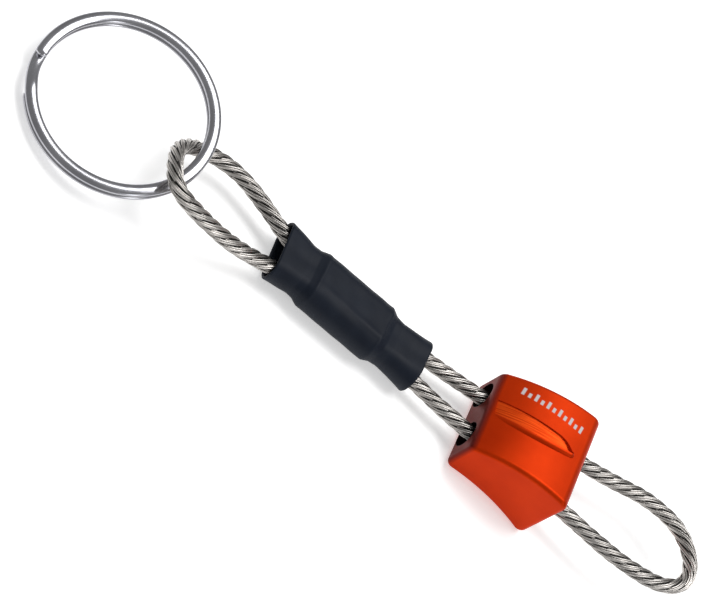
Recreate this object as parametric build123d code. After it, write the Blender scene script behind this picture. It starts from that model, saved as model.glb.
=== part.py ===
from build123d import *
import math
import os

# Key fob made like a climbing nut: a wedge nut on a looped wire rope, with a swaged ferrule, a shrink
# sleeve over it and a split key ring through the small eye.
# Millimetres. X runs along the fob from the key ring (-X) to the big bight (+X), Z is up and Z = 0 is
# the surface the fob lies on. The dimensions below are laid out from the middle of the shrink sleeve,
# and ORIGIN then moves the row's origin to the middle of the whole fob's footprint.

# ---- driving dimensions -------------------------------------------------------------------------
ORIGIN = (4.15, 0.7, 0.0)

ROPE_D = 2.5
ROPE_Z = 2.9                 # height of both runs inside the ferrule and the sleeve
RUN_Y = 2.15                 # the two runs of rope lie this far to each side in the ferrule

FERRULE_X = (-7.4, 4.9)
FERRULE_W = 9.2
FERRULE_H = 4.8
FERRULE_CHAMFER = 0.5
CHANNEL_GAP = 0.04           # each channel is this much wider than the rope
BUTT_X = (-1.9, -0.6)        # the rope's two ends face each other across this gap

SLEEVE_WALL = 0.5
SLEEVE_END_SLANT = 0.075     # the end towards the key ring is cut this much off square, in X per Y

RING_OD = 29.5
RING_CENTRE = (-46.3, 0.7, 4.6)
RING_NORMAL = (-0.19, -0.16, 0.97)
WIRE_W = 1.9                 # radial width of the ring's wire
WIRE_H = 1.0                 # height of one turn
WIRE_EDGE_R = 0.45
WIRE_GAP = 0.03              # between the two turns
STEP_ANGLE = 24.0            # arc over which the wire steps from one turn to the other
STEP_AT = 208.0              # where the step ends, round the ring from its +X side

NUT_X = (25.2, 41.7)
NUT_H = (6.6, 11.7)          # heights of the narrow and wide ends
NUT_NARROW_Y = (-8.5, 7.6)   # flanks at the narrow end
NUT_WIDE_Y = (-9.8, 8.4)     # flanks at the wide end
NUT_TOP_RISE = 1.6           # rise of the convex face over its chord
NUT_BOTTOM_RISE = 1.2        # rise of the concave face over its chord
NUT_END_R = 1.6              # rounding of the ends' upper edges
NUT_FOOT_R = 1.2             # rounding of the ends' lower edges
NUT_FLANK_R = 0.7            # rounding of every other edge
NUT_FOOT_Z = -0.36           # the side outline's two lower corners, before their edges are rounded
BORE_D = 4.5
BORE_Y = 4.1
SLIDE_FROM = (21.2, 2.9)     # the bores' axis in X and Z, through these two places
SLIDE_TO = (44.5, 4.95)
GROOVE_DEPTH = 0.2           # at its +Y side, from where the floor falls away towards the bead
GROOVE_FALL = 13.0           # degrees
GROOVE_UPPER = [(26.0, 1.9), (36.0, 0.85)]               # the groove's straight +Y side
GROOVE_TIP = (38.9, -0.9)
GROOVE_NOSE = (37.7, 0.2)                                # the nose's arc bends through here
GROOVE_LOWER = [(26.2, -0.8), (32.5, -1.8), (38.4, -1.15)]   # the -Y side's arc, under the bead
LIP_R = 0.75                 # the bead along the groove's -Y side
LIP_SUNK = (1.0, 0.25, 0.35)  # its centreline is this far under the convex face, at three places

# Corners of the wire rope's route, from the butt joint in the ferrule round the small eye, back
# through the ferrule, through the nut, round the big bight and back to the butt joint.
ROPE_ROUTE = [
    (BUTT_X[0], -RUN_Y, ROPE_Z), (-8.6, -RUN_Y, ROPE_Z), (-14.8, -3.6, 3.0), (-22.0, -6.9, 5.0),
    (-29.2, -8.6, 7.4), (-34.6, -9.1, 9.2), (-36.6, -4.8, 8.6), (-36.6, 0.0, 6.6),
    (-33.1, 4.3, 4.2), (-26.6, 6.3, 3.5), (-20.5, 5.0, 3.3), (-14.5, 2.9, 3.0),
    (-8.6, RUN_Y, ROPE_Z), (6.0, RUN_Y, ROPE_Z), (14.4, 2.5, 2.8), (21.2, 3.25, 2.9),
    (44.5, 4.9, 4.95), (50.5, 5.9, 5.5), (57.5, 7.5, 6.0), (64.2, 6.6, 6.5),
    (67.9, 2.3, 6.9), (68.0, -2.2, 6.9), (64.2, -5.2, 6.5), (57.5, -6.1, 6.0),
    (50.5, -5.8, 5.5), (44.5, -4.9, 4.95), (21.2, -3.25, 2.9), (14.4, -2.5, 2.8),
    (6.0, -RUN_Y, ROPE_Z), (BUTT_X[1], -RUN_Y, ROPE_Z),
]

# Stations of the shrink sleeve: X, outer width, outer height.
SLEEVE_STATIONS = [
    (-14.8, 11.0, 4.8), (-12.6, 10.2, 4.7), (-10.2, 9.3, 4.6), (-8.9, 9.4, 4.8), (-7.7, 10.3, 5.8),
    (5.2, 10.3, 5.8), (6.4, 9.0, 4.8), (7.8, 8.6, 4.6), (10.2, 8.9, 4.9), (12.2, 9.4, 5.4),
    (13.4, 9.7, 5.8),
]


def rope_path(route):
    """Straight runs joined by the largest tangent arcs that the runs allow."""
    points = [Vector(*p) for p in route]
    radii = []
    for before, here, after in zip(points, points[1:], points[2:]):
        run_in = here - before
        run_out = after - here
        shorter = min(run_in.length, run_out.length)
        half_turn = math.radians(run_in.get_angle(run_out)) / 2
        radii.append(0.45 * shorter / math.tan(half_turn))
    print("rope radii", [round(r, 1) for r in radii])
    return FilletPolyline(*points, radius=radii)


def make_wire_rope():
    path = rope_path(ROPE_ROUTE)
    start = Plane(origin=path @ 0, z_dir=path % 0)
    rope = sweep(start * Circle(ROPE_D / 2), path=path)
    expected = math.pi * ROPE_D ** 2 / 4 * path.length
    print("rope length", round(path.length, 1), "volume ratio", round(rope.volume / expected, 4))
    return rope


def stadium(x, width, height):
    """A flat oval across the fob at one X."""
    plane = Plane(origin=(x, 0, ROPE_Z), x_dir=(0, 1, 0), z_dir=(1, 0, 0))
    return plane * SlotOverall(width, height)


def make_ferrule():
    x0, x1 = FERRULE_X
    body = extrude(stadium(x0, FERRULE_W, FERRULE_H), amount=x1 - x0)
    rims = body.edges().group_by(Axis.X)
    body = chamfer(rims[0] + rims[-1], FERRULE_CHAMFER)
    for side in (-1, 1):
        mouth = Plane(origin=(x0, side * RUN_Y, ROPE_Z), z_dir=(1, 0, 0))
        body -= extrude(mouth * Circle(ROPE_D / 2 + CHANNEL_GAP), amount=x1 - x0)
    return body


def sleeve_loft(inset, overrun):
    """Ruled loft through the sleeve's stations, drawn in by inset and longer at its ends by overrun."""
    stations = [list(s) for s in SLEEVE_STATIONS]
    stations[0][0] -= overrun
    stations[-1][0] += overrun
    return loft([stadium(x, w - 2 * inset, h - 2 * inset) for x, w, h in stations], ruled=True)


def make_shrink_sleeve():
    end_allowance = 1.0
    shell = sleeve_loft(0, end_allowance) - sleeve_loft(SLEEVE_WALL, 2 * end_allowance)
    slanted = Plane(origin=(SLEEVE_STATIONS[0][0], 0, ROPE_Z), z_dir=(-1, -SLEEVE_END_SLANT, 0))
    square = Plane(origin=(SLEEVE_STATIONS[-1][0], 0, ROPE_Z), z_dir=(1, 0, 0))
    for end in (slanted, square):
        shell -= extrude(end * Rectangle(40, 40), amount=10)
    return shell


def make_split_ring():
    """One rounded flat wire wound two turns, with both ends beside the step from turn to turn."""
    radius = (RING_OD - WIRE_W) / 2
    rise = (WIRE_H + WIRE_GAP) / 2
    end_angle = STEP_AT - STEP_ANGLE
    section = RectangleRounded(WIRE_W, WIRE_H, WIRE_EDGE_R)

    def at(angle, height):
        a = math.radians(angle)
        return Vector(radius * math.cos(a), radius * math.sin(a), height)

    def turn(height):
        """One nearly whole turn at a height, from just past the step round to just before it."""
        middle = at(STEP_AT + (360 - STEP_ANGLE) / 2, height)
        arc = ThreePointArc(at(STEP_AT, height), middle, at(end_angle, height))
        a = math.radians(STEP_AT)
        start = Plane(origin=arc @ 0, x_dir=(math.cos(a), math.sin(a), 0), z_dir=arc % 0)
        return sweep(start * section, path=arc)

    def step_profile(fraction):
        angle = end_angle + fraction * STEP_ANGLE
        a = math.radians(angle)
        height = -rise + 2 * rise * (1 - math.cos(math.pi * fraction)) / 2
        tangent = (-math.sin(a), math.cos(a), 0)
        plane = Plane(origin=at(angle, height), x_dir=(math.cos(a), math.sin(a), 0), z_dir=tangent)
        return plane * section

    step = loft([step_profile(i / 6) for i in range(7)], ruled=True)
    wire = turn(-rise) + step + turn(rise)
    seat = Plane(origin=RING_CENTRE, x_dir=(RING_NORMAL[2], 0, -RING_NORMAL[0]), z_dir=RING_NORMAL)
    return seat * wire


def nut_profile(drop):
    """The nut's side outline, with its convex top face lowered by drop."""
    x0, x1 = NUT_X
    h0, h1 = NUT_H[0] - drop, NUT_H[1] - drop
    middle = (x0 + x1) / 2
    foot = NUT_FOOT_Z
    outline = Line((x0, foot), (x0, h0))
    outline += ThreePointArc((x0, h0), (middle, (h0 + h1) / 2 + NUT_TOP_RISE), (x1, h1))
    outline += Line((x1, h1), (x1, foot))
    outline += ThreePointArc((x1, foot), (middle, foot + NUT_BOTTOM_RISE), (x0, foot))
    return Plane.XZ * make_face(outline)


def nut_slab(drop):
    return extrude(nut_profile(drop), amount=2 * NUT_WIDE_Y[1], both=True)


def top_height(x):
    """Height of the convex face at X, from its circle through both ends and the middle."""
    x0, x1 = NUT_X
    chord = math.hypot(x1 - x0, NUT_H[1] - NUT_H[0])
    along = (x - (x0 + x1) / 2) / ((x1 - x0) / 2)
    radius = (chord ** 2 / 4 + NUT_TOP_RISE ** 2) / (2 * NUT_TOP_RISE)
    rise = math.sqrt(radius ** 2 - (along * chord / 2) ** 2) - (radius - NUT_TOP_RISE)
    return NUT_H[0] + (NUT_H[1] - NUT_H[0]) * (along + 1) / 2 + rise


def make_lip():
    """The round bead beside the groove, with a ball at each end."""
    ends = [Vector(x, y, top_height(x) - sunk) for (x, y), sunk in zip(GROOVE_LOWER, LIP_SUNK)]
    spine = ThreePointArc(*ends)
    bead = sweep(Plane(origin=spine @ 0, z_dir=spine % 0) * Circle(LIP_R), path=spine)
    for end in (ends[0], ends[2]):
        bead += Pos(*end) * Sphere(LIP_R)
    return bead


def make_groove_cutter():
    """The scoop on the convex face, square at the narrow end and pointed at the other."""
    upper_0, upper_1 = GROOVE_UPPER
    lower_0, lower_mid, lower_1 = GROOVE_LOWER
    outline = Line(upper_0, upper_1)
    outline += ThreePointArc(upper_1, GROOVE_NOSE, GROOVE_TIP)
    outline += Line(GROOVE_TIP, lower_1)
    outline += ThreePointArc(lower_1, lower_mid, lower_0)
    outline += Line(lower_0, upper_0)
    turn_at = (0, upper_0[1], NUT_H[0])
    under_floor = Pos(*turn_at) * Rot(X=GROOVE_FALL) * Pos(*[-c for c in turn_at]) * nut_slab(GROOVE_DEPTH)
    return extrude(make_face(outline), amount=2 * NUT_H[1]) - under_floor


def make_nut():
    x0, x1 = NUT_X
    corners = [(x0, NUT_NARROW_Y[0]), (x1, NUT_WIDE_Y[0]), (x1, NUT_WIDE_Y[1]), (x0, NUT_NARROW_Y[1])]
    plan = make_face(Polyline(*corners, close=True))
    body = nut_slab(0) & extrude(plan, amount=2 * NUT_H[1], both=True)
    across = body.edges().filter_by(Axis.Y)
    body = fillet(across.filter_by(lambda e: e.center().Z > NUT_H[0] / 2), NUT_END_R)
    across = body.edges().filter_by(Axis.Y)
    body = fillet(across.filter_by(lambda e: e.center().Z < 0), NUT_FOOT_R)
    inner = min(NUT_NARROW_Y[1], -NUT_NARROW_Y[0]) * 0.9
    body = fillet(body.edges().filter_by(lambda e: abs(e.center().Y) > inner), NUT_FLANK_R)
    body += make_lip() - extrude(Plane.YZ.offset(x0 - 5) * Rectangle(40, 60), amount=5)
    body -= make_groove_cutter()
    slide = Vector(SLIDE_TO[0] - SLIDE_FROM[0], 0, SLIDE_TO[1] - SLIDE_FROM[1])
    for side in (-1, 1):
        mouth = Plane(origin=(SLIDE_FROM[0], side * BORE_Y, SLIDE_FROM[1]), z_dir=slide)
        body -= extrude(mouth * Circle(BORE_D / 2), amount=slide.length)
    return body


NODES = {
    "split_ring": make_split_ring,
    "wire_rope": make_wire_rope,
    "ferrule": make_ferrule,
    "shrink_sleeve": make_shrink_sleeve,
    "nut": make_nut,
}

os.makedirs("parts", exist_ok=True)
for name, make in NODES.items():
    export_step(Location(Vector(*ORIGIN) * -1) * make(), f"parts/{name}.step")
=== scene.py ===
import bpy
import bmesh
import math
from mathutils import Matrix, Vector


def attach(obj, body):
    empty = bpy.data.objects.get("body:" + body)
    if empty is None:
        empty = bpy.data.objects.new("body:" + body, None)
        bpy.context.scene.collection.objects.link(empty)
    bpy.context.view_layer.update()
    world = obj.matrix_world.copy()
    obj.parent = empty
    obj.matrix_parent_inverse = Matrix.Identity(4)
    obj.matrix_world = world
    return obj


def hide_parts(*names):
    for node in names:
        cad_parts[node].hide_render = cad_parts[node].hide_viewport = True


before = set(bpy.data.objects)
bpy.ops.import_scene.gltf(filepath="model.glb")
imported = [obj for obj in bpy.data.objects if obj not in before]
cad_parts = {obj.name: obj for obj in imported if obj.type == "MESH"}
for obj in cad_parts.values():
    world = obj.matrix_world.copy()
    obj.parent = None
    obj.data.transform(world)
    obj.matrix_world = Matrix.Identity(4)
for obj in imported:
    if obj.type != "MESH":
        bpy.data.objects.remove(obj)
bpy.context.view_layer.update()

MM = 0.001
ORIGIN = Vector((4.15, 0.7, 0.0))     # the row's origin in the fob's own layout, millimetres

# ---- dimensions, millimetres, as in the solids ---------------------------------------------------
ROPE_D = 2.5
ROPE_Z = 2.9
RUN_Y = 2.15
BUTT_X = (-1.9, -0.6)
SLEEVE_WALL = 0.5
SLEEVE_END_SLANT = 0.075
SLEEVE_STATIONS = [          # X, outer width, outer height
    (-14.8, 11.0, 4.8), (-12.6, 10.2, 4.7), (-10.2, 9.3, 4.6), (-8.9, 9.4, 4.8), (-7.7, 10.3, 5.8),
    (5.2, 10.3, 5.8), (6.4, 9.0, 4.8), (7.8, 8.6, 4.6), (10.2, 8.9, 4.9), (12.2, 9.4, 5.4),
    (13.4, 9.7, 5.8),
]
RING_OD = 29.5
RING_CENTRE = Vector((-46.3, 0.7, 4.6))
RING_NORMAL = Vector((-0.19, -0.16, 0.97))
WIRE_W = 1.9
WIRE_H = 1.0
WIRE_GAP = 0.03
STEP_ANGLE = 24.0
STEP_AT = 208.0
NUT_X = (25.2, 41.7)
NUT_H = (6.6, 11.7)
NUT_TOP_RISE = 1.6
BORE_D = 4.5
BORE_Y = 4.1
SLIDE_FROM = (21.2, 2.9)     # the bores' axis in X and Z, through these two places
SLIDE_TO = (44.5, 4.95)
MARK_ROW = ((28.4, 5.2), (39.3, 3.9))    # where the printed ticks start and end, X and Y
TICKS = 11
TICK_PITCH = 1.0
TICK_WIDTH = 0.45
TICK_FOOT = -0.7             # where every tick starts, across the row
TICK_TOPS = (0.7, 0.2)       # long and short ticks by turns

ROPE_ROUTE = [
    (BUTT_X[0], -RUN_Y, ROPE_Z), (-8.6, -RUN_Y, ROPE_Z), (-14.8, -3.6, 3.0), (-22.0, -6.9, 5.0),
    (-29.2, -8.6, 7.4), (-34.6, -9.1, 9.2), (-36.6, -4.8, 8.6), (-36.6, 0.0, 6.6),
    (-33.1, 4.3, 4.2), (-26.6, 6.3, 3.5), (-20.5, 5.0, 3.3), (-14.5, 2.9, 3.0),
    (-8.6, RUN_Y, ROPE_Z), (6.0, RUN_Y, ROPE_Z), (14.4, 2.5, 2.8), (21.2, 3.25, 2.9),
    (44.5, 4.9, 4.95), (50.5, 5.9, 5.5), (57.5, 7.5, 6.0), (64.2, 6.6, 6.5),
    (67.9, 2.3, 6.9), (68.0, -2.2, 6.9), (64.2, -5.2, 6.5), (57.5, -6.1, 6.0),
    (50.5, -5.8, 5.5), (44.5, -4.9, 4.95), (21.2, -3.25, 2.9), (14.4, -2.5, 2.8),
    (6.0, -RUN_Y, ROPE_Z), (BUTT_X[1], -RUN_Y, ROPE_Z),
]

ROPE_LAY = 13.0              # millimetres of rope for one turn of a strand
WIRE_LAY = 18.0              # millimetres of strand for one turn of a wire
HOLLOW_R = 1.02              # wire skin nearer the rope's middle than this is in the hollows and gets painted shade
STRANDS = 6                  # round one more in the middle
WIRES = 6                    # in each strand
WIRE_SWELL = 1.04            # each wire is this much thicker than its share, so that wires meet
WIRE_SIDES = 6
ROPE_STEP = 0.5              # between the rings of a wire's skin
RING_SIDES = 28
RING_STEP_DEGREES = 1.5
DRESSED_RUN = 0.7            # the ring wire's ends are dressed round over this length
DRESSED_LEAST = 0.25         # down to this share of the wire's section
SLEEVE_RINGS = 190
SLEEVE_EASE = 0.18           # the sleeve's corners are eased over this much to each side
SLEEVE_LIP_RUN = 0.3         # its ends draw in over this length
SLEEVE_LIP_DRAW = 0.22       # by this much


def placed(point):
    """A point of the layout in millimetres, in the row frame in metres."""
    return (Vector(point) - ORIGIN) * MM


# ---- mesh helpers --------------------------------------------------------------------------------
def mesh_object(name, vertices, faces, smooth=True):
    mesh = bpy.data.meshes.new(name)
    mesh.from_pydata([tuple(v) for v in vertices], [], faces)
    mesh.validate()
    mesh.update()
    mesh.polygons.foreach_set("use_smooth", [smooth] * len(mesh.polygons))
    obj = bpy.data.objects.new(name, mesh)
    bpy.context.scene.collection.objects.link(obj)
    return obj


def add_tube(vertices, faces, rings, capped=True):
    """Rings of equal length become one skin."""
    first = len(vertices)
    count = len(rings[0])
    for ring in rings:
        vertices.extend(ring)
    for i in range(len(rings) - 1):
        a, b = first + i * count, first + (i + 1) * count
        for j in range(count):
            k = (j + 1) % count
            faces.append((a + j, a + k, b + k, b + j))
    if capped:
        last = first + (len(rings) - 1) * count
        faces.append(tuple(reversed(range(first, first + count))))
        faces.append(tuple(range(last, last + count)))


# ---- materials -----------------------------------------------------------------------------------
class Nodes:
    """A node tree with short calls."""

    def __init__(self, name):
        self.material = bpy.data.materials.new(name)
        self.material.use_nodes = True
        self.tree = self.material.node_tree
        self.shader = self.tree.nodes["Principled BSDF"]

    def add(self, kind, **settings):
        node = self.tree.nodes.new(kind)
        for key, value in settings.items():
            if key in node.inputs:
                node.inputs[key].default_value = value
            else:
                setattr(node, key, value)
        return node

    def link(self, source, target):
        self.tree.links.new(source, target)

    def coords(self):
        return self.add("ShaderNodeTexCoord").outputs["Object"]

    def noise(self, scale, detail=3.0, roughness=0.5, vector=None):
        node = self.add("ShaderNodeTexNoise", Scale=scale, Detail=detail, Roughness=roughness)
        self.link(vector or self.coords(), node.inputs["Vector"])
        return node.outputs["Fac"]

    def ramp(self, value, stops):
        node = self.add("ShaderNodeValToRGB")
        elements = node.color_ramp.elements
        while len(elements) < len(stops):
            elements.new(0.5)
        for element, (place, colour) in zip(elements, stops):
            element.position = place
            element.color = colour
        self.link(value, node.inputs["Fac"])
        return node.outputs["Color"]

    def spread(self, value, low, high):
        """value from 0..1 to low..high"""
        node = self.add("ShaderNodeMapRange")
        node.inputs["To Min"].default_value = low
        node.inputs["To Max"].default_value = high
        self.link(value, node.inputs["Value"])
        return node.outputs["Result"]

    def bump(self, height, strength, distance, normal=None):
        node = self.add("ShaderNodeBump", Strength=strength, Distance=distance)
        self.link(height, node.inputs["Height"])
        if normal is not None:
            self.link(normal, node.inputs["Normal"])
        return node.outputs["Normal"]

    def set(self, **sockets):
        names = {key.replace("_", " ").lower(): value for key, value in sockets.items()}
        for socket in self.shader.inputs:
            if socket.name.lower() in names:
                value = names[socket.name.lower()]
                if isinstance(value, bpy.types.NodeSocket):
                    self.link(value, socket)
                else:
                    socket.default_value = value


def grey(value, warm=0.0):
    return (value * (1 + warm), value, value * (1 - warm), 1.0)


def rope_steel():
    n = Nodes("rope_steel")
    tone = n.ramp(n.noise(260.0, 4.0), [(0.3, grey(0.30, 0.05)), (0.7, grey(0.56, 0.05))])
    n.set(Base_Color=tone, Metallic=1.0, Roughness=n.spread(n.noise(900.0), 0.2, 0.38))
    n.set(Normal=n.bump(n.noise(4200.0, 2.0), 0.25, 0.00002))
    return n.material


def rope_painted_shade():
    """Painted shade: near-black steel colour down between the strands, where light hardly reaches."""
    n = Nodes("rope_painted_shade")
    tone = n.ramp(n.noise(420.0, 4.0), [(0.3, grey(0.020, 0.05)), (0.7, grey(0.055, 0.05))])
    n.set(Base_Color=tone, Metallic=0.6, Roughness=n.spread(n.noise(900.0), 0.45, 0.6))
    n.set(Normal=n.bump(n.noise(4200.0, 2.0), 0.25, 0.00002))
    return n.material


def ring_steel():
    n = Nodes("ring_steel")
    tone = n.ramp(n.noise(180.0, 3.0), [(0.3, (0.40, 0.40, 0.43, 1.0)), (0.7, (0.50, 0.50, 0.53, 1.0))])
    n.set(Base_Color=tone, Metallic=1.0, Roughness=n.spread(n.noise(1300.0, 5.0), 0.16, 0.26))
    n.set(Normal=n.bump(n.noise(500.0, 4.0), 0.08, 0.00004))
    return n.material


def ferrule_aluminium():
    n = Nodes("ferrule_aluminium")
    tone = n.ramp(n.noise(300.0, 3.0), [(0.3, grey(0.62)), (0.7, grey(0.74))])
    n.set(Base_Color=tone, Metallic=1.0, Roughness=n.spread(n.noise(800.0), 0.3, 0.5))
    n.set(Normal=n.bump(n.noise(1500.0), 0.2, 0.00003))
    return n.material


def sleeve_plastic():
    n = Nodes("sleeve_plastic")
    dusty = n.ramp(n.noise(220.0, 6.0, 0.65),
                   [(0.35, (0.0048, 0.0078, 0.0155, 1.0)), (0.75, (0.0085, 0.0130, 0.0230, 1.0))])
    n.set(Base_Color=dusty, Roughness=n.spread(n.noise(420.0, 4.0), 0.44, 0.6), Specular_IOR_Level=0.16)
    fine = n.bump(n.noise(5200.0, 2.0), 0.22, 0.00002)
    n.set(Normal=n.bump(n.noise(310.0, 3.0), 0.22, 0.00010, fine))
    return n.material


def layout_axis(n, axis):
    """One of the layout's coordinates in millimetres, as a shader value."""
    split = n.add("ShaderNodeSeparateXYZ")
    n.link(n.coords(), split.inputs[0])
    scaled = n.add("ShaderNodeMath", operation="MULTIPLY_ADD")
    n.link(split.outputs[axis], scaled.inputs[0])
    scaled.inputs[1].default_value = 1 / MM
    scaled.inputs[2].default_value = ORIGIN[axis]
    return scaled.outputs[0]


def maths(n, operation, *values):
    node = n.add("ShaderNodeMath", operation=operation)
    for socket, value in zip(node.inputs, values):
        if isinstance(value, bpy.types.NodeSocket):
            n.link(value, socket)
        else:
            socket.default_value = value
    return node.outputs[0]


def within(n, value, low, high, soft):
    """1 between low and high, 0 outside, with soft edges."""
    middle, half = (low + high) / 2, (high - low) / 2
    away = maths(n, "ABSOLUTE", maths(n, "SUBTRACT", value, middle))
    node = n.add("ShaderNodeMapRange")
    n.link(away, node.inputs["Value"])
    node.inputs["From Min"].default_value = half + soft
    node.inputs["From Max"].default_value = half - soft
    return node.outputs["Result"]


def nut_anodised():
    n = Nodes("nut_anodised")
    x, y, z = (layout_axis(n, axis) for axis in range(3))
    tone = n.ramp(n.noise(150.0, 4.0),
                  [(0.3, (0.47, 0.026, 0.0008, 1.0)), (0.7, (0.56, 0.034, 0.0015, 1.0))])
    # the narrow end is painted a darker wine red: painted shade on the face turned away from the light
    narrow_end_painted_shade = within(n, x, NUT_X[0] - 1, NUT_X[0] + 0.5, 0.35)
    shaded = n.add("ShaderNodeMix", data_type="RGBA")
    n.link(narrow_end_painted_shade, shaded.inputs["Factor"])
    n.link(tone, shaded.inputs[6])
    shaded.inputs[7].default_value = (0.135, 0.012, 0.008, 1.0)
    # the scoop's floor: machined, brighter and more orange, with cutter lines along it
    x0, x1 = NUT_X
    along = maths(n, "MULTIPLY_ADD", x, 2 / (x1 - x0), -(x0 + x1) / (x1 - x0))
    slope = maths(n, "MULTIPLY_ADD", along, (NUT_H[1] - NUT_H[0]) / 2, (NUT_H[0] + NUT_H[1]) / 2)
    arch = maths(n, "MULTIPLY", maths(n, "SUBTRACT", 1.0, maths(n, "MULTIPLY", along, along)), NUT_TOP_RISE)
    depth = maths(n, "SUBTRACT", maths(n, "ADD", slope, arch), z)
    floor = maths(n, "MULTIPLY", within(n, depth, 0.16, 1.4, 0.05),
                  maths(n, "MULTIPLY", within(n, y, -1.6, 1.95, 0.04), within(n, x, 25.95, 38.9, 0.04)))
    stretched = n.add("ShaderNodeMapping")
    stretched.inputs["Scale"].default_value = (0.03, 1.0, 0.0)
    n.link(n.coords(), stretched.inputs["Vector"])
    lines = n.noise(5200.0, 2.0, 0.6, stretched.outputs["Vector"])
    machined = n.ramp(lines, [(0.35, (0.50, 0.034, 0.002, 1.0)), (0.65, (0.80, 0.085, 0.008, 1.0))])
    body = n.add("ShaderNodeMix", data_type="RGBA")
    n.link(floor, body.inputs["Factor"])
    n.link(shaded.outputs[2], body.inputs[6])
    n.link(machined, body.inputs[7])
    # inside the bores the colour is nearly black: painted shade down the holes
    pitch = (SLIDE_TO[1] - SLIDE_FROM[1]) / (SLIDE_TO[0] - SLIDE_FROM[0])
    axis_z = maths(n, "MULTIPLY_ADD", x, pitch, SLIDE_FROM[1] - SLIDE_FROM[0] * pitch)
    across = maths(n, "SUBTRACT", maths(n, "ABSOLUTE", y), BORE_Y)
    up = maths(n, "SUBTRACT", z, axis_z)
    from_axis = maths(n, "SQRT", maths(n, "ADD", maths(n, "MULTIPLY", across, across),
                                       maths(n, "MULTIPLY", up, up)))
    bore_painted_shade = n.add("ShaderNodeMix", data_type="RGBA")
    n.link(within(n, from_axis, -1.0, BORE_D / 2 + 0.05, 0.04), bore_painted_shade.inputs["Factor"])
    n.link(body.outputs[2], bore_painted_shade.inputs[6])
    bore_painted_shade.inputs[7].default_value = (0.022, 0.004, 0.004, 1.0)
    # a plain row of printed ticks in place of lettering
    (u0, v0), (u1, v1) = MARK_ROW
    length = math.hypot(u1 - u0, v1 - v0)
    ux, uy = (u1 - u0) / length, (v1 - v0) / length
    run = maths(n, "ADD", maths(n, "MULTIPLY", x, ux), maths(n, "MULTIPLY_ADD", y, uy, -u0 * ux - v0 * uy))
    side = maths(n, "ADD", maths(n, "MULTIPLY", x, -uy), maths(n, "MULTIPLY_ADD", y, ux, u0 * uy - v0 * ux))
    marks = 0.0
    for tick in range(TICKS):
        start, top = tick * TICK_PITCH, TICK_TOPS[tick % 2]
        box = maths(n, "MULTIPLY", within(n, run, start, start + TICK_WIDTH, 0.06),
                    within(n, side, TICK_FOOT, top, 0.06))
        marks = maths(n, "MAXIMUM", marks, box)
    marks = maths(n, "MULTIPLY", marks, within(n, depth, -1.0, 0.5, 0.05))
    printed = n.add("ShaderNodeMix", data_type="RGBA")
    n.link(marks, printed.inputs["Factor"])
    n.link(bore_painted_shade.outputs[2], printed.inputs[6])
    printed.inputs[7].default_value = (0.60, 0.56, 0.56, 1.0)
    metal = maths(n, "MULTIPLY", maths(n, "SUBTRACT", 1.0, marks), 0.55)
    n.set(Base_Color=printed.outputs[2], Metallic=metal, Roughness=n.spread(n.noise(900.0, 3.0), 0.36, 0.48),
          Specular_IOR_Level=0.05)
    cut = n.bump(maths(n, "MULTIPLY", lines, floor), 0.5, 0.00006)
    n.set(Normal=n.bump(n.noise(9000.0, 2.0), 0.28, 0.00002, cut))
    return n.material


# ---- the wire rope -------------------------------------------------------------------------------
def rope_line():
    """The rope's centreline: a smooth NURBS spline on the route's points, read back as points."""
    curve = bpy.data.curves.new("rope_route", "CURVE")
    curve.dimensions = "3D"
    spline = curve.splines.new("NURBS")
    spline.points.add(len(ROPE_ROUTE) - 1)
    for point, place in zip(spline.points, ROPE_ROUTE):
        point.co = (*placed(place), 1.0)
    spline.order_u = 3
    spline.use_endpoint_u = True
    spline.resolution_u = 24
    holder = bpy.data.objects.new("rope_route", curve)
    bpy.context.scene.collection.objects.link(holder)
    bpy.context.view_layer.update()
    line = bpy.data.meshes.new_from_object(holder)
    points = [v.co.copy() for v in line.vertices]
    bpy.data.objects.remove(holder)
    bpy.data.curves.remove(curve)
    bpy.data.meshes.remove(line)
    return points


def even_steps(points, step):
    """The same line with points a step apart."""
    out = [points[0].copy()]
    carried = 0.0
    for a, b in zip(points, points[1:]):
        run = (b - a).length
        while carried + run >= step:
            part = (step - carried) / run
            a = a.lerp(b, part)
            out.append(a.copy())
            run = (b - a).length
            carried = 0.0
        carried += run
    return out


def line_frames(points):
    """Tangent, normal and binormal along a line, with the least twist."""
    count = len(points)
    tangents = []
    for i in range(count):
        ahead = points[min(i + 1, count - 1)] - points[max(i - 1, 0)]
        tangents.append(ahead.normalized())
    normal = tangents[0].cross(Vector((0, 0, 1))).normalized()
    frames = []
    for tangent in tangents:
        normal = (normal - tangent * normal.dot(tangent)).normalized()
        frames.append((tangent, normal, tangent.cross(normal)))
    return frames


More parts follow.
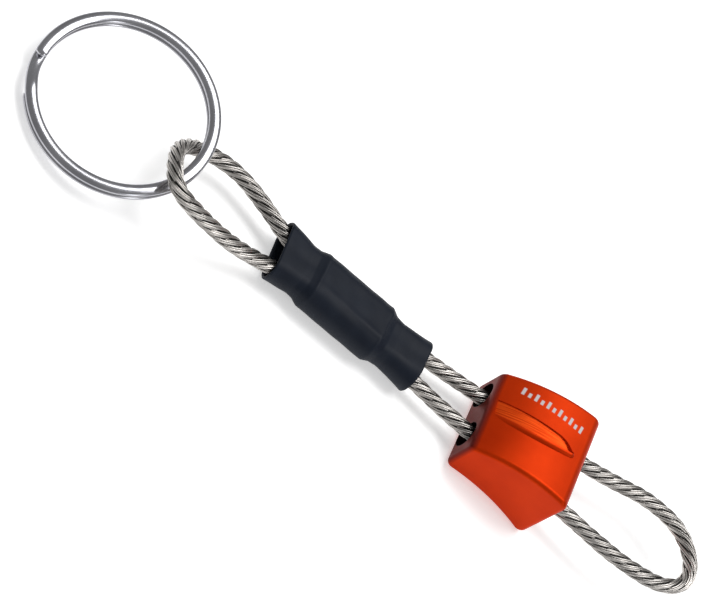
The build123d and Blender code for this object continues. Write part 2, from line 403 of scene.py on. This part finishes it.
def make_rope(materials):
    step = ROPE_STEP * MM
    centre = even_steps(rope_line(), step)
    frames = line_frames(centre)
    wire_r = ROPE_D / 18 * MM
    strand_r = ROPE_D / 6 * MM
    vertices, faces = [], []
    painted_shade_faces = []
    lines = []
    for strand in range(STRANDS):
        line = []
        for i, (point, (_, normal, side)) in enumerate(zip(centre, frames)):
            angle = math.tau * (strand / STRANDS - i * step / (ROPE_LAY * MM))
            outward = normal * math.cos(angle) + side * math.sin(angle)
            line.append((point + outward * 2 * strand_r, outward))
        lines.append(line)
    lines.append([(point, normal) for point, (_, normal, _) in zip(centre, frames)])
    for line in lines:
        places = [p for p, _ in line]
        for wire in range(WIRES):
            path = []
            for i, (point, outward) in enumerate(line):
                ahead = (places[min(i + 1, len(places) - 1)] - places[max(i - 1, 0)]).normalized()
                radial = (outward - ahead * outward.dot(ahead)).normalized()
                across = ahead.cross(radial)
                angle = math.tau * (wire / WIRES + i * step / (WIRE_LAY * MM))
                path.append(point + (radial * math.cos(angle) + across * math.sin(angle)) * 2 * wire_r)
            rings = []
            for point, (_, normal, side) in zip(path, line_frames(path)):
                rings.append([point + (normal * math.cos(a) + side * math.sin(a)) * wire_r * WIRE_SWELL
                              for a in (math.tau * j / WIRE_SIDES for j in range(WIRE_SIDES))])
            before = len(faces)
            add_tube(vertices, faces, rings)
            for face in faces[before:]:
                row = min((face[0] - len(vertices)) // WIRE_SIDES + len(rings), len(rings) - 1)
                middle = sum((vertices[v] for v in face), Vector()) / len(face)
                # faces down in the hollows take the painted-shade material
                painted_shade_faces.append((middle - centre[row]).length < HOLLOW_R * MM)
    rope = mesh_object("wire_rope_strands", vertices, faces)
    for material in materials:
        rope.data.materials.append(material)
    rope.data.polygons.foreach_set("material_index", [int(h) for h in painted_shade_faces])
    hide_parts("wire_rope")
    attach(rope, "sling")


# ---- the split ring ------------------------------------------------------------------------------
def make_ring(material):
    """One wire of rounded flat section, two turns with a step between them and its ends dressed round."""
    seat_z = RING_NORMAL.normalized()
    seat_x = Vector((RING_NORMAL.z, 0, -RING_NORMAL.x)).normalized()
    seat_y = seat_z.cross(seat_x)
    radius = (RING_OD - WIRE_W) / 2
    rise = (WIRE_H + WIRE_GAP) / 2
    first_turn, whole = 360 - STEP_ANGLE, 720 - STEP_ANGLE
    steps = round(whole / RING_STEP_DEGREES)
    rings = []
    for i in range(steps + 1):
        turned = whole * i / steps
        part = min(max((turned - first_turn) / STEP_ANGLE, 0.0), 1.0)
        height = -rise * math.cos(math.pi * part)
        from_end = min(turned, whole - turned) * math.radians(1) * radius
        rounding = math.sqrt(1 - max(0.0, 1 - from_end / DRESSED_RUN) ** 2)
        dressed = rounding * (1 - DRESSED_LEAST) + DRESSED_LEAST
        a = math.radians(STEP_AT + turned)
        outward = seat_x * math.cos(a) + seat_y * math.sin(a)
        centre = RING_CENTRE + outward * radius + seat_z * height
        ring = []
        for j in range(RING_SIDES):
            t = math.tau * j / RING_SIDES
            across = math.cos(t) * WIRE_W / 2
            upward = math.sin(t) * WIRE_H / 2
            ring.append(placed(centre + (outward * across + seat_z * upward) * dressed))
        rings.append(ring)
    vertices, faces = [], []
    add_tube(vertices, faces, rings)
    ring = mesh_object("split_ring_wire", vertices, faces)
    ring.data.materials.append(material)
    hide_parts("split_ring")
    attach(ring, "key_ring")


# ---- the shrink sleeve ---------------------------------------------------------------------------
def station(x):
    """Outer width and height of the sleeve at X, between its stations."""
    x = min(max(x, SLEEVE_STATIONS[0][0]), SLEEVE_STATIONS[-1][0])
    for (xa, wa, ha), (xb, wb, hb) in zip(SLEEVE_STATIONS, SLEEVE_STATIONS[1:]):
        if x <= xb:
            part = (x - xa) / (xb - xa)
            return wa + (wb - wa) * part, ha + (hb - ha) * part
    return SLEEVE_STATIONS[-1][1:]


def eased_station(x):
    """The same with its corners eased over a few tenths of a millimetre."""
    weights, width, height = 0.0, 0.0, 0.0
    for k in range(-6, 7):
        weight = 7 - abs(k)
        w, h = station(x + SLEEVE_EASE * k / 6)
        weights, width, height = weights + weight, width + w * weight, height + h * weight
    return width / weights, height / weights


def oval(width, height):
    """Points round a flat oval in Y and Z with their outward directions, from +Y round over the top."""
    flat = (width - height) / 2
    radius = height / 2
    points = []
    arc, run = 40, 12
    for side in (1, -1):
        for k in range(arc):
            a = math.pi * (k / arc - 0.5) + (0 if side == 1 else math.pi)
            out_y, out_z = math.cos(a), math.sin(a)
            points.append((side * flat + radius * out_y, radius * out_z, out_y, out_z))
        for k in range(run):
            y = side * (flat - 2 * flat * k / run)
            points.append((y, side * radius, 0.0, float(side)))
    return points


def swell(x, y, top):
    """How far the tube's outside stands off its plain form, millimetres."""
    inside = 1 / (1 + math.exp(-(x + 7.6) * 5)) / (1 + math.exp((x - 5.0) * 5))
    towards_nut = min(max((x + 7.0) / 12.0, 0.0), 1.0)
    ridge = (0.05 + 0.06 * towards_nut) * math.exp(-((y + 2.3 + 0.05 * x) / 0.5) ** 2) * inside * top
    hollow = -0.07 * towards_nut * math.exp(-((y + 3.6) / 0.9) ** 2) * inside * top
    keel = -0.08 * math.exp(-((y - 0.2) / 1.1) ** 2) * (1 - inside) * top
    lip_left = 0.07 * math.exp(-((x + 7.5) / 0.3) ** 2) * top
    lip_right = 0.07 * math.exp(-((x - 5.0) / 0.3) ** 2) * top
    soft = 0.014 * math.sin(1.7 * x + 0.9 * y) + 0.012 * math.sin(0.8 * x - 1.9 * y + 1.0)
    return ridge + hollow + keel + lip_left + lip_right + soft


def make_sleeve(material):
    x0, x1 = SLEEVE_STATIONS[0][0], SLEEVE_STATIONS[-1][0]
    outer, inner = [], []
    for i in range(SLEEVE_RINGS + 1):
        part = i / SLEEVE_RINGS
        width, height = eased_station(x0 + (x1 - x0) * part)
        skin, bore = [], []
        lip = min(part, 1 - part) * (x1 - x0)
        drawn = SLEEVE_LIP_DRAW * max(0.0, 1 - lip / SLEEVE_LIP_RUN) ** 2
        for y, z, out_y, out_z in oval(width, height):
            slant = -SLEEVE_END_SLANT * y * max(0.0, 1 - part * 3)
            x = x0 + (x1 - x0) * part + slant
            off = swell(x, y, max(0.0, out_z)) - drawn
            skin.append(placed((x, y + out_y * off, ROPE_Z + z + out_z * off)))
            deep = -SLEEVE_WALL + drawn
            bore.append(placed((x, y + out_y * deep, ROPE_Z + z + out_z * deep)))
        outer.append(skin)
        inner.append(bore)
    vertices, faces = [], []
    add_tube(vertices, faces, outer + inner[::-1] + outer[:1], capped=False)
    sleeve = mesh_object("shrink_sleeve_skin", vertices, faces)
    weld = bmesh.new()
    weld.from_mesh(sleeve.data)
    bmesh.ops.remove_doubles(weld, verts=weld.verts, dist=1e-6)
    bmesh.ops.recalc_face_normals(weld, faces=weld.faces)
    weld.to_mesh(sleeve.data)
    weld.free()
    sleeve.data.materials.append(material)
    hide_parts("shrink_sleeve")
    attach(sleeve, "sling")


# ---- camera, lights, floor -----------------------------------------------------------------------
def make_camera():
    """Above the fob's right-hand side and towards its key ring, rolled so that the fob lies slantwise."""
    lean_side, lean_back, roll = math.radians(42.0), math.radians(16.0), math.radians(40.3)
    distance = 0.400
    target = placed((0.0, 2.0, 4.0))
    away = Vector((-math.sin(lean_back), -math.sin(lean_side) * math.cos(lean_back),
                   math.cos(lean_side) * math.cos(lean_back)))
    level = (Vector((1, 0, 0)) - away * away.x).normalized()
    upright = away.cross(level)
    right = level * math.cos(roll) + upright * math.sin(roll)
    up = away.cross(right)
    data = bpy.data.cameras.new("camera")
    data.sensor_width = 36.0
    data.lens = 134.2
    data.clip_start, data.clip_end = 0.01, 10.0
    camera = bpy.data.objects.new("camera", data)
    camera.matrix_world = Matrix.Translation(target + away * distance) @ Matrix(
        (right, up, away)).transposed().to_4x4()
    bpy.context.scene.collection.objects.link(camera)
    bpy.context.scene.camera = camera


def make_light(name, place, size, power):
    """An oblong light at place that looks at the row's origin."""
    data = bpy.data.lights.new(name, "AREA")
    data.shape = "RECTANGLE"
    data.size, data.size_y = size
    data.energy = power
    light = bpy.data.objects.new(name, data)
    light.location = place
    light.rotation_mode = "QUATERNION"
    light.rotation_quaternion = (-Vector(place)).to_track_quat("-Z", "Y")
    bpy.context.scene.collection.objects.link(light)


def make_stage():
    floor_half = 1.2
    floor = mesh_object("floor", [(-floor_half, -floor_half, 0), (floor_half, -floor_half, 0),
                                  (floor_half, floor_half, 0), (-floor_half, floor_half, 0)],
                        [(0, 1, 2, 3)], smooth=False)
    floor.location.z = -0.0003
    n = Nodes("floor_paper")
    n.set(Base_Color=(0.93, 0.93, 0.93, 1.0), Roughness=0.9, Specular_IOR_Level=0.0)
    n.set(Emission_Color=(1.0, 1.0, 1.0, 1.0), Emission_Strength=0.45)
    floor.data.materials.append(n.material)
    world = bpy.data.worlds.new("studio")
    world.use_nodes = True
    world.node_tree.nodes["Background"].inputs["Color"].default_value = (1.0, 1.0, 1.0, 1.0)
    world.node_tree.nodes["Background"].inputs["Strength"].default_value = 0.30
    bpy.context.scene.world = world
    bpy.context.scene.view_settings.view_transform = "Standard"
    make_light("key", (0.10, 0.16, 0.50), (0.50, 0.30), 2.3)
    make_light("fill", (0.34, -0.36, 0.26), (0.10, 0.30), 0.35)


make_camera()
make_stage()
make_rope((rope_steel(), rope_painted_shade()))
make_ring(ring_steel())
make_sleeve(sleeve_plastic())
for node, build in (("ferrule", ferrule_aluminium), ("nut", nut_anodised)):
    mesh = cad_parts[node].data
    mesh.materials.clear()
    mesh.materials.append(build())
